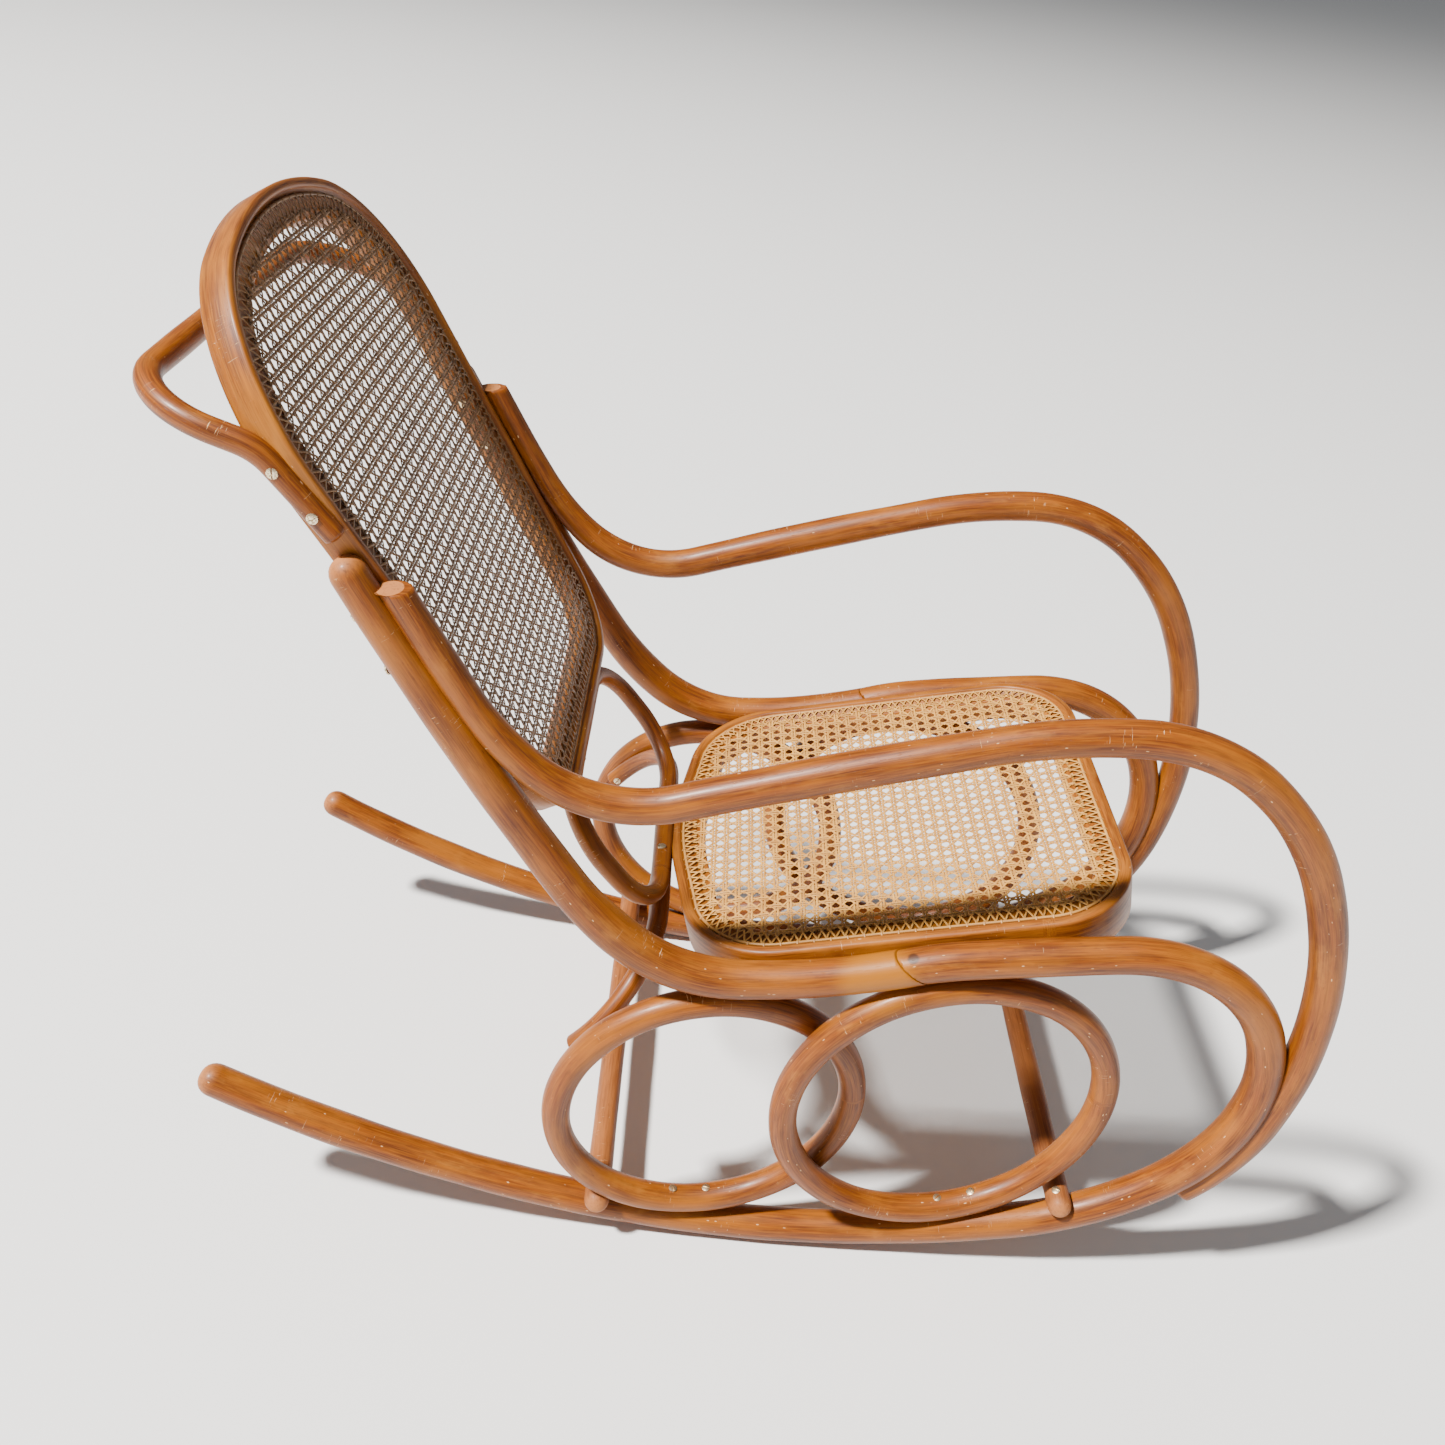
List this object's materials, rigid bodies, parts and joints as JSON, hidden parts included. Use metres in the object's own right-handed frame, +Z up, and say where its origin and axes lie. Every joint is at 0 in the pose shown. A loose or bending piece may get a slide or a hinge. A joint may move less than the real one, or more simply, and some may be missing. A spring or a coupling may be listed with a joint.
{
  "type": "rocking chair",
  "caption": "Bentwood rocking chair with a caned seat and back, looped arms that run down to the rockers, and side rings between rail and rocker.",
  "frame": {"origin": "on the floor, midway between the front and back of the whole chair and midway between its sides", "axes": "+X is the way the sitter faces, +Y is the sitter's left, +Z is up; the chair stands in the pose in which it balances empty"},
  "size_m": [1.098, 0.53, 0.9855],
  "materials": {
    "bent_wood": "satin, worn",
    "frame_wood": "satin, worn",
    "stretcher_wood": "satin, worn",
    "cane": "satin",
    "cane_edging": "satin",
    "screw_metal": "dull"
  },
  "bodies": {
    "root": {"arm_foot_screws_left": "screw_metal", "arm_foot_screws_right": "screw_metal", "arm_left": "bent_wood", "arm_right": "bent_wood", "arm_screws_left": "screw_metal", "arm_screws_right": "screw_metal", "back_binder": "cane_edging", "back_cane": "cane", "back_frame": "frame_wood", "back_ring": "bent_wood", "back_ring_screws": "screw_metal", "back_screws": "screw_metal", "bow_screws": "screw_metal", "head_loop": "bent_wood", "loop_screws": "screw_metal", "post_left": "bent_wood", "post_right": "bent_wood", "ring_front_left": "bent_wood", "ring_front_right": "bent_wood", "ring_rear_left": "bent_wood", "ring_rear_right": "bent_wood", "ring_screws_left": "screw_metal", "ring_screws_right": "screw_metal", "runner_left": "bent_wood", "runner_right": "bent_wood", "seat_binder": "cane_edging", "seat_bow": "bent_wood", "seat_cane": "cane", "seat_frame": "frame_wood", "seat_screws": "screw_metal", "stretcher_front": "stretcher_wood", "stretcher_rear": "stretcher_wood", "stretcher_screws": "screw_metal"}
  },
  "joints": []
}
